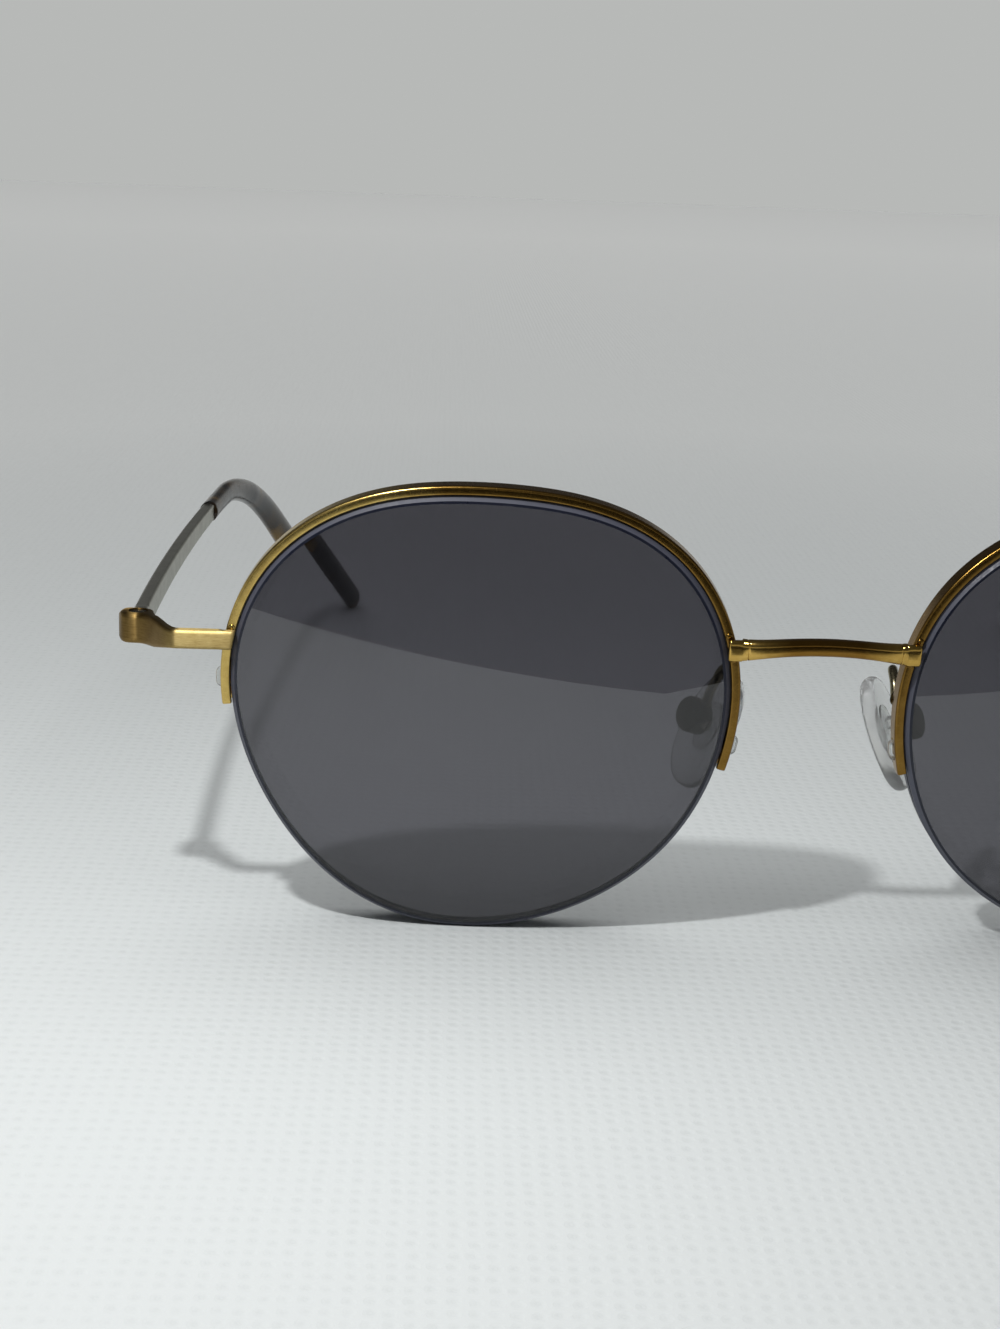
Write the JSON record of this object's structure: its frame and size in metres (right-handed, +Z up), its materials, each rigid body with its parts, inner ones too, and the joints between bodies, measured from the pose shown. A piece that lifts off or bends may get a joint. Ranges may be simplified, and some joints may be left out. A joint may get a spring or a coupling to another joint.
{
  "type": "semi-rimless eyeglasses",
  "caption": "Semi-rimless eyeglasses: tinted round lenses hung from metal half rims by a nylon cord, on rocking nose pads, with slim folding temples and curved tips.",
  "frame": {"origin": "on the table under the middle of the glasses, bottom centre of their bounding box, temples open", "axes": "+X to the wearer's left, +Y back from the lenses to the ears, +Z up; standing on the lens edges and temple tips"},
  "size_m": [0.141, 0.1444, 0.0476],
  "materials": {
    "bridge": "brushed antique gold plate",
    "rim_right": "brushed antique gold plate over nickel silver, dark in the hollows",
    "rim_liner_right": "dark nylon strip",
    "lens_right": "polished resin with an even grey tint, ground edge",
    "lens_cord_right": "clear nylon line",
    "endpiece_right": "brushed antique gold plate",
    "hinge_screw_right": "dark plated steel",
    "pad_arm_right": "antique gold plated wire",
    "pad_box_right": "dark bronze plate",
    "pad_screw_right": "dark plated steel",
    "temple_knuckle_right": "olive grey antique plate",
    "temple_arm_right": "olive grey antique plate, satin",
    "temple_tip_right": "polished dark tortoise acetate",
    "nose_pad_right": "clear soft silicone",
    "rim_left": "brushed antique gold plate over nickel silver, dark in the hollows",
    "rim_liner_left": "dark nylon strip",
    "lens_left": "polished resin with an even grey tint, ground edge",
    "lens_cord_left": "clear nylon line",
    "endpiece_left": "brushed antique gold plate",
    "hinge_screw_left": "dark plated steel",
    "pad_arm_left": "antique gold plated wire",
    "pad_box_left": "dark bronze plate",
    "pad_screw_left": "dark plated steel",
    "temple_knuckle_left": "olive grey antique plate",
    "temple_arm_left": "olive grey antique plate, satin",
    "temple_tip_left": "polished dark tortoise acetate",
    "nose_pad_left": "clear soft silicone"
  },
  "bodies": {
    "front": {"bridge": "bridge", "rim_right": "rim_right", "rim_liner_right": "rim_liner_right", "lens_right": "lens_right", "lens_cord_right": "lens_cord_right", "endpiece_right": "endpiece_right", "hinge_screw_right": "hinge_screw_right", "pad_arm_right": "pad_arm_right", "pad_box_right": "pad_box_right", "pad_screw_right": "pad_screw_right", "rim_left": "rim_left", "rim_liner_left": "rim_liner_left", "lens_left": "lens_left", "lens_cord_left": "lens_cord_left", "endpiece_left": "endpiece_left", "hinge_screw_left": "hinge_screw_left", "pad_arm_left": "pad_arm_left", "pad_box_left": "pad_box_left", "pad_screw_left": "pad_screw_left"},
    "temple_right": {"temple_knuckle_right": "temple_knuckle_right", "temple_arm_right": "temple_arm_right", "temple_tip_right": "temple_tip_right"},
    "nose_pad_right": {"nose_pad_right": "nose_pad_right"},
    "temple_left": {"temple_knuckle_left": "temple_knuckle_left", "temple_arm_left": "temple_arm_left", "temple_tip_left": "temple_tip_left"},
    "nose_pad_left": {"nose_pad_left": "nose_pad_left"}
  },
  "joints": [
    {"name": "temple_fold_right", "type": "hinge", "parent": "front", "child": "temple_right", "pos_m": [-0.06859, -0.06413, 0.03093], "axis": [0, 0, -1], "range_deg": [0, 74]},
    {"name": "temple_fold_left", "type": "hinge", "parent": "front", "child": "temple_left", "pos_m": [0.06859, -0.06413, 0.03093], "axis": [0, 0, 1], "range_deg": [0, 84]},
    {"name": "pad_rock_right", "type": "hinge", "parent": "front", "child": "nose_pad_right", "pos_m": [-0.01118, -0.06119, 0.02233], "axis": [-0.4321, 0.8829, 0.1834], "range_deg": [-10, 10]},
    {"name": "pad_rock_left", "type": "hinge", "parent": "front", "child": "nose_pad_left", "pos_m": [0.01118, -0.06119, 0.02233], "axis": [0.4321, 0.8829, 0.1834], "range_deg": [-10, 10]}
  ]
}
